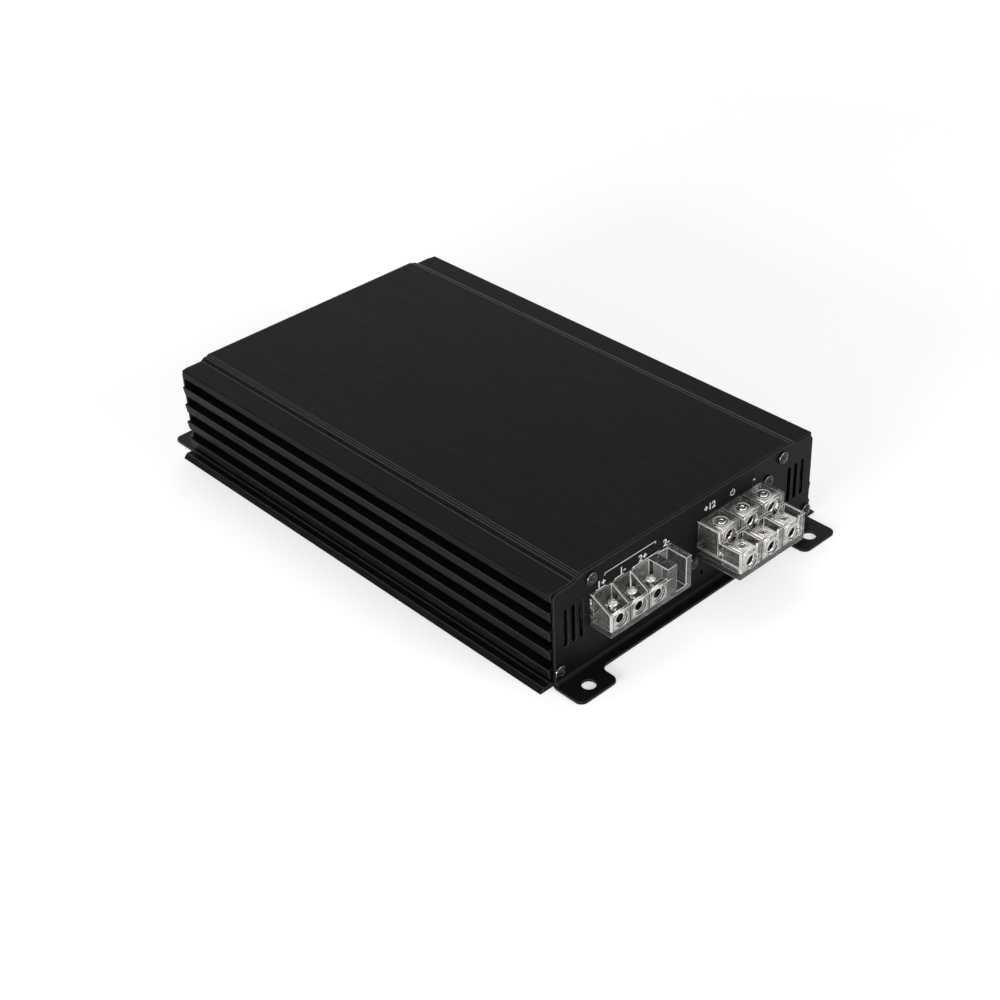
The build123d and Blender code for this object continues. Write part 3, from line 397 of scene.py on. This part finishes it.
def soften_edges(node, width, finish, even_light):
    """Rounds a CAD node's sharp edges by width millimetres, in their own paler material, a painted
    highlight.
    """
    weld = node.modifiers.new("weld", "WELD")
    weld.merge_threshold = WELD_GAP
    flats = node.modifiers.new("flats", "DECIMATE")
    flats.decimate_type = "DISSOLVE"
    flats.angle_limit = FLAT_ANGLE
    bevel = node.modifiers.new("bevel", "BEVEL")
    bevel.width = width * MM
    bevel.segments = 2
    bevel.limit_method = "ANGLE"
    bevel.angle_limit = SHARP_ANGLE
    bevel.use_clamp_overlap = False
    # The rounded strips take the pale edge material, a painted highlight.
    node.data.materials.append(finish)
    bevel.material = len(node.data.materials) - 1
    if even_light:
        node.modifiers.new("shading", "WEIGHTED_NORMAL").keep_sharp = True


def dress_cad_nodes():
    """Gives every CAD node the finish of its slot in the record, and rounds the edges that show in
    a paler material that is a painted highlight.

    Weighted normals would bend the view through the thin walls of the clear parts, so those
    keep their own.
    """
    for part in frame["record"]["subparts"]:
        node, slot = NODES[part["node"]], part["material_slot"]
        # The power clamp screws take the darker copy of the nickel, a painted shade.
        finish = "clamp_screw_shade" if part["node"].startswith("power_screw") else slot
        node.data.materials.clear()
        node.data.materials.append(MATERIALS[finish])
        if slot in EDGES:
            # The rounded edges get a paler colour, a painted highlight.
            soften_edges(node, *EDGES[slot], even_light=slot != "clear_plastic")


# ---------------------------------------------------------------- printed marks

SHEET = 1.2 * MM
PLATE_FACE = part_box("chassis_heatsink")[1][1] + SHEET
INK = 0.02 * MM
TERMINALS, FAR_END = -1, 1  # the side along Y that an end plate faces

# Places and sizes of the marks, in millimetres.
WAY_SIZE, WAY_BOLD = 4.6, 0.12
WAY_ROW = 37.9
WAY_BRACKET = (
    (-36.2, 41.9, 30.0, 0.35, 0),
    (-51.0, 41.4, 1.3, 0.35, 90),
    (-21.4, 41.4, 1.3, 0.35, 90),
)
SUPPLY_ROW = 42.0
STANDBY_X, STANDBY_RADIUS = 26.3, 1.3
STANDBY_LINE = 0.45
DIAL_SIZE, DIAL_BOLD = 2.0, 0.03
DIAL_NUMBER_OUT, DIAL_NUMBER_DOWN = 4.6, 6.9  # from the knob's centre
OFF_OUT, ON_OUT = 8.2, 7.6  # from the lever's centre
SOCKET_SIZE, SOCKET_BOLD = 2.4, 0.04
SOCKET_OUT, SOCKET_IN = 5.4, 4.15  # sideways from the shells' corner, and to their middle height


def printed_text(name, words, x, z, side, size, bold):
    """White printed characters on the end plate of that side."""
    data = bpy.data.curves.new(name, "FONT")
    data.body = words
    data.size = size * MM
    data.offset = bold * MM
    data.extrude = INK / 2
    data.align_x = "CENTER"
    data.align_y = "CENTER"
    text = bpy.data.objects.new(name, data)
    bpy.context.collection.objects.link(text)
    text.rotation_euler = (math.pi / 2, 0, 0 if side < 0 else math.pi)
    text.location = (x * MM, side * (PLATE_FACE + INK / 2), z * MM)
    data.materials.append(MATERIALS["printed_ink"])
    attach(text, "amplifier")


def mesh_piece(name, shape, material, body):
    """A finished bmesh as an object that rides on a body."""
    data = bpy.data.meshes.new(name)
    shape.to_mesh(data)
    shape.free()
    piece = bpy.data.objects.new(name, data)
    bpy.context.collection.objects.link(piece)
    data.materials.append(MATERIALS[material])
    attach(piece, body)
    return piece


def printed_bars(name, bars, side):
    """Thin printed bars on an end plate, each (x, z, length, thickness, turn in degrees)."""
    shape = bmesh.new()
    for x, z, length, thickness, turn in bars:
        place = (
            Matrix.Translation((x * MM, side * (PLATE_FACE + INK / 2), z * MM))
            @ Matrix.Rotation(math.radians(turn), 4, "Y")
            @ Matrix.Diagonal((length * MM, INK, thickness * MM, 1))
        )
        bmesh.ops.create_cube(shape, size=1, matrix=place)
    mesh_piece(name, shape, "printed_ink", "amplifier")


def bar_on_circle(x, z, radius, turn, along, across):
    """A bar centred on a circle, at a turn clockwise from the top, with its length along it."""
    return (
        x + radius * math.sin(turn), z + radius * math.cos(turn),
        along, across, math.degrees(turn),
    )


def ring_bars(x, z, radius, count=14, gap=70.0, overlap=1.15):
    """Bars that follow a ring with a gap at its top, as on a stand-by sign."""
    sweep = 360 - gap
    length = overlap * radius * math.radians(sweep) / count
    turns = [math.radians(gap / 2 + (index + 0.5) / count * sweep) for index in range(count)]
    return [bar_on_circle(x, z, radius, turn, length, STANDBY_LINE) for turn in turns]


def dial_ticks(x, z, count=11, sweep=280.0, radius=6.1, width=0.3, length=1.1):
    """Tick bars around a control, leaving the gap at the bottom."""
    turns = [math.radians(index / (count - 1) * sweep - sweep / 2) for index in range(count)]
    return [bar_on_circle(x, z, radius, turn, width, length) for turn in turns]


def centre_of(node):
    """The centre of a node's box, in metres."""
    low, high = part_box(node)
    return [(a + b) / 2 for a, b in zip(low, high)]


def print_terminal_end():
    """Plain way numbers and signs over the clamps."""
    ways = [(-52.9, "1+"), (-40.7, "1-"), (-28.9, "2+"), (-14.8, "2-")]
    for index, (x, words) in enumerate(ways, start=1):
        printed_text(f"way_mark_{index}", words, x, WAY_ROW, TERMINALS, WAY_SIZE, WAY_BOLD)
    printed_bars("way_bracket", WAY_BRACKET, TERMINALS)
    for name, x, words in [("supply_plus", 11.8, "+12"), ("supply_minus", 40.3, "-")]:
        printed_text(name, words, x, SUPPLY_ROW, TERMINALS, WAY_SIZE, WAY_BOLD)
    ring = ring_bars(STANDBY_X, SUPPLY_ROW, STANDBY_RADIUS)
    stroke = (STANDBY_X, SUPPLY_ROW + 1.0, 1.7, STANDBY_LINE, 90)
    printed_bars("supply_switch", [*ring, stroke], TERMINALS)


def print_far_end():
    """Dial ticks and numbers, ON and OFF, and socket numbers."""
    dial_style = (FAR_END, DIAL_SIZE, DIAL_BOLD)
    for index in range(1, 5):
        x, _, z = (value / MM for value in centre_of(f"control_knob_{index}"))
        row = z - DIAL_NUMBER_DOWN
        printed_bars(f"dial_ticks_{index}", dial_ticks(x, z), FAR_END)
        printed_text(f"dial_low_{index}", "0", x + DIAL_NUMBER_OUT, row, *dial_style)
        printed_text(f"dial_high_{index}", "10", x - DIAL_NUMBER_OUT, row, *dial_style)
    for index in range(1, 3):
        x, _, z = (value / MM for value in centre_of(f"switch_lever_{index}"))
        printed_text(f"switch_off_{index}", "OFF", x + OFF_OUT, z, *dial_style)
        printed_text(f"switch_on_{index}", "ON", x - ON_OUT, z, *dial_style)
    low, high = (tuple(value / MM for value in corner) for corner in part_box("phono_shells"))
    middle_x, _, middle_z = (value / MM for value in centre_of("phono_shells"))
    corners = [(x, z) for z in (high[2], low[2]) for x in (high[0], low[0])]
    for index, (x, z) in enumerate(corners, start=1):
        x += SOCKET_OUT if x > middle_x else -SOCKET_OUT
        z += -SOCKET_IN if z > middle_z else SOCKET_IN
        printed_text(f"socket_mark_{index}", str(index), x, z, FAR_END, SOCKET_SIZE, SOCKET_BOLD)


# ---------------------------------------------------------------- knobs

RIBS = 30
POINTS_PER_RIB = 6
RIB_DEPTH = 0.28 * MM
RIB_ROUNDNESS = 0.6  # power of the rib wave; a lower one gives broader ribs and finer grooves
CREASE_ANGLE = math.radians(40)
KNOB_GAP = 0.5 * MM  # from the end plate to the grip
RIM = 0.6 * MM
RIM_STEPS = 6
# Shares of the knob's radius.
SHAFT_SHARE = 0.65
BACK_SHARE = 0.97
DISH_TOP_SHARE, DISH_FOOT_SHARE = 0.72, 0.66
POINTER_LENGTH_SHARE, POINTER_PLACE_SHARE = 0.62, 0.34
DISH_EDGE_DEPTH, DISH_CENTRE_DEPTH = 0.35 * MM, 0.3 * MM
POINTER_WIDTH, POINTER_THICKNESS, POINTER_DEPTH = 0.7 * MM, 0.2 * MM, 0.28 * MM
POINTER_ROUNDING = 0.06 * MM


def knob_profile(radius, foot, face):
    """The knob's outline from foot to face, each point (radius, y, how deep the ribs cut it)."""
    shaft = radius * SHAFT_SHARE
    back = PLATE_FACE + KNOB_GAP
    profile = [
        (shaft, foot, 0), (shaft, back, 0),
        (radius * BACK_SHARE, back, 0), (radius, back + RIM / 2, 1),
    ]
    for step in range(RIM_STEPS + 1):
        turn = step / RIM_STEPS * math.pi / 2
        profile.append((
            radius - RIM + RIM * math.cos(turn), face - RIM + RIM * math.sin(turn),
            1 - step / RIM_STEPS,
        ))
    profile += [
        (radius * DISH_TOP_SHARE, face, 0),
        (radius * DISH_FOOT_SHARE, face - DISH_EDGE_DEPTH, 0),
        (0, face - DISH_CENTRE_DEPTH, 0),
    ]
    return profile


def ribbed_ring(shape, x, y, z, reach, ribbed):
    """The points around the knob at one place of its profile, one point shared at the centre."""
    around = RIBS * POINTS_PER_RIB
    if reach == 0:
        return [shape.verts.new((x, y, z))] * around
    ring = []
    for step in range(around):
        turn = 2 * math.pi * step / around
        wave = (0.5 + 0.5 * math.cos(RIBS * turn)) ** RIB_ROUNDNESS
        out = reach - ribbed * RIB_DEPTH * (1 - wave)
        ring.append(shape.verts.new((x + out * math.cos(turn), y, z + out * math.sin(turn))))
    return ring


def ribbed_knob(index):
    """Control knob with fine grip ribs, a rounded rim and a dished face, and its pointer line."""
    node = f"control_knob_{index}"
    low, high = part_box(node)
    x, _, z = centre_of(node)
    radius = (high[0] - low[0]) / 2
    face = high[1]
    shape = bmesh.new()
    rings = [
        ribbed_ring(shape, x, y, z, reach, ribbed)
        for reach, y, ribbed in knob_profile(radius, low[1], face)
    ]
    shape.faces.new(rings[0])
    for first, second in zip(rings, rings[1:]):
        for step in range(len(first)):
            after = (step + 1) % len(first)
            corners = [first[step], first[after], second[after], second[step]]
            shape.faces.new(list(dict.fromkeys(corners)))
    bmesh.ops.recalc_face_normals(shape, faces=shape.faces)
    for side in shape.faces:
        side.smooth = True
    knob = mesh_piece(f"ribbed_knob_{index}", shape, "knob_black", node)
    knob.modifiers.new("crease", "EDGE_SPLIT").split_angle = CREASE_ANGLE
    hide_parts(node)
    pointer = bmesh.new()
    centre = (x, face - POINTER_DEPTH, z + radius * POINTER_PLACE_SHARE)
    size = (POINTER_WIDTH, POINTER_THICKNESS, radius * POINTER_LENGTH_SHARE)
    place = Matrix.Translation(centre) @ Matrix.Diagonal((*size, 1))
    bmesh.ops.create_cube(pointer, size=1, matrix=place)
    bmesh.ops.bevel(
        pointer, geom=pointer.edges[:], offset=POINTER_ROUNDING, segments=2, affect="EDGES"
    )
    mesh_piece(f"knob_pointer_{index}", pointer, "printed_ink", node)


# ---------------------------------------------------------------- stage and light

FLOOR_SIZE = 14.0  # metres
FLOOR_GLOW_NEAR, FLOOR_GLOW_FAR = 0.49, 1.0  # how bright the floor glows in view
GLOW_START, GLOW_END = 0.5, 1.5  # metres from the origin between which the glow grows
WORLD_FILL = 0.25
LIGHT_TARGET = (0, 0, 20 * MM)
LIGHTS = {  # place, size in metres and power in watts
    "key": ((0.5, 0.8, 1.7), (1.2, 1.2), 8),
    "left": ((-1.5, -0.3, 0.25), (0.8, 0.4), 28),
    "front": ((0.5, -1.6, 0.7), (0.9, 0.7), 11),
}


def area_light(name, place, size, power):
    """A white rectangular lamp that points at LIGHT_TARGET."""
    data = bpy.data.lights.new(name, "AREA")
    data.shape = "RECTANGLE"
    data.size, data.size_y = size
    data.energy = power
    lamp = bpy.data.objects.new(name, data)
    bpy.context.collection.objects.link(lamp)
    lamp.location = place
    aim = Vector(LIGHT_TARGET) - Vector(place)
    lamp.rotation_euler = aim.to_track_quat("-Z", "Y").to_euler()


def seen_directly(tree):
    """1 for camera, glossy and transmission rays, which show the background, and 0 for the rest."""
    path = tree.nodes.new("ShaderNodeLightPath")
    seen = path.outputs["Is Camera Ray"]
    for kind in ("Is Glossy Ray", "Is Transmission Ray"):
        seen = math_node(tree, "MAXIMUM", seen, path.outputs[kind])
    return seen


def make_stage():
    """White floor that keeps the soft shadow, and turns fully white away from the object."""
    bpy.ops.mesh.primitive_plane_add(size=FLOOR_SIZE)
    floor = bpy.context.object
    floor.name = "floor"
    made = Shader("floor_white", (0.82, 0.82, 0.82), 0.9, Specular_IOR_Level=0.0)
    place = made.add("ShaderNodeTexCoord").outputs["Object"]
    reach = made.tree.nodes.new("ShaderNodeVectorMath")
    reach.operation = "LENGTH"
    made.feed(reach.inputs[0], place)
    level = made.spread(
        reach.outputs["Value"], FLOOR_GLOW_NEAR, FLOOR_GLOW_FAR, GLOW_START, GLOW_END
    )
    glow = math_node(made.tree, "MULTIPLY", seen_directly(made.tree), level)
    made.set("Emission Color", (1, 1, 1, 1))
    made.tree.links.new(glow, made.surface.inputs["Emission Strength"])
    floor.data.materials.append(made.material)


def make_world():
    """Dim even light, with a white background behind the floor's edge."""
    world = bpy.data.worlds.new("studio")
    bpy.context.scene.world = world
    world.use_nodes = True
    tree = world.node_tree
    background = tree.nodes["Background"]
    background.inputs["Color"].default_value = (1, 1, 1, 1)
    strength = tree.nodes.new("ShaderNodeMapRange")
    strength.inputs["To Min"].default_value = WORLD_FILL
    tree.links.new(seen_directly(tree), strength.inputs["Value"])
    tree.links.new(strength.outputs["Result"], background.inputs["Strength"])


# ---------------------------------------------------------------- build

bpy.context.scene.view_settings.view_transform = "Standard"
make_camera()
make_world()
make_stage()
for light, settings in LIGHTS.items():
    area_light(light, *settings)
MATERIALS = make_materials()
EDGES = make_edge_materials()
dress_cad_nodes()
print_terminal_end()
print_far_end()
for number in range(1, 5):
    ribbed_knob(number)
